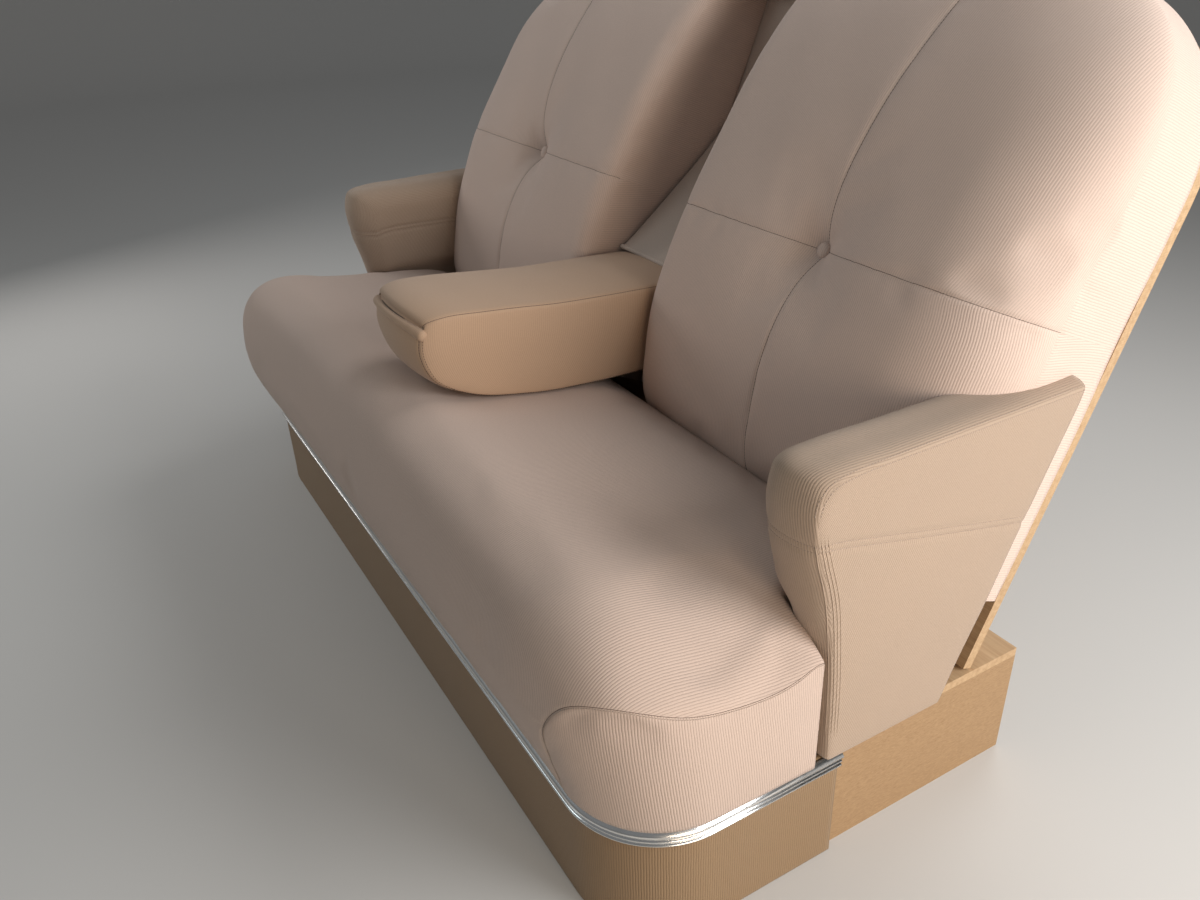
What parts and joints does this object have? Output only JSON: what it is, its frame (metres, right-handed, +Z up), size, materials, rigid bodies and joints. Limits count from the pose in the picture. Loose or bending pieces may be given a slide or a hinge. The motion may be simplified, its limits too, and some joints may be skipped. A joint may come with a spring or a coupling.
{
  "type": "rear bench seat",
  "caption": "Cloth rear bench seat on a wooden base, with tufted backs, side armrests and a centre armrest that folds up between the backs.",
  "frame": {"origin": "centre of the four floor bolt holes, on the floor under the base", "axes": "+X across the car towards its left side, -Y the way the seat faces, +Z up"},
  "size_m": [1.424, 0.8758, 0.9485],
  "materials": {
    "seat_cloth": "fine ribbed wool cord cloth, matt",
    "back_cloth": "fine ribbed wool cord cloth, matt",
    "armrest_cloth": "fine ribbed wool cord cloth, worn smooth",
    "side_cloth": "fine ribbed wool cord cloth, matt",
    "recess_cloth": "plain wool cloth, matt",
    "riser_cloth": "fine ribbed wool cord cloth, matt",
    "bright_moulding": "polished, lightly worn",
    "hardwood": "sawn and planed, unvarnished",
    "plywood": "sanded, unvarnished",
    "black_steel": "black paint",
    "plain_steel": "bright drawn steel"
  },
  "bodies": {
    "root": {"seat_cushion": "seat_cloth", "left_back_cushion": "back_cloth", "right_back_cushion": "back_cloth", "left_back_button": "back_cloth", "right_back_button": "back_cloth", "left_side_armrest": "side_cloth", "right_side_armrest": "side_cloth", "left_side_panel": "side_cloth", "right_side_panel": "side_cloth", "recess_panel": "recess_cloth", "recess_header": "back_cloth", "recess_apron": "recess_cloth", "seat_riser": "riser_cloth", "riser_moulding": "bright_moulding", "base_front_rail": "hardwood", "base_rear_rail": "hardwood", "base_end_rails": "hardwood", "base_corner_blocks": "hardwood", "base_cross_rails": "hardwood", "back_posts": "hardwood", "back_top_rail": "hardwood", "seat_deck": "plywood", "back_board": "plywood", "back_gussets": "plywood", "floor_brackets": "black_steel", "back_hangers": "black_steel", "hinge_brackets": "black_steel", "hinge_stop_bar": "plain_steel"},
    "centre_armrest": {"armrest_pad": "armrest_cloth", "armrest_pull_lip": "armrest_cloth", "armrest_hinge_arms": "black_steel", "armrest_hinge_pin": "plain_steel"}
  },
  "joints": [
    {"name": "centre_armrest_fold", "type": "hinge", "parent": "root", "child": "centre_armrest", "pos_m": [0, 0.212, 0.452], "axis": [-1, 0, 0], "range_deg": [0, 108], "deforming": ["recess_apron"]}
  ]
}
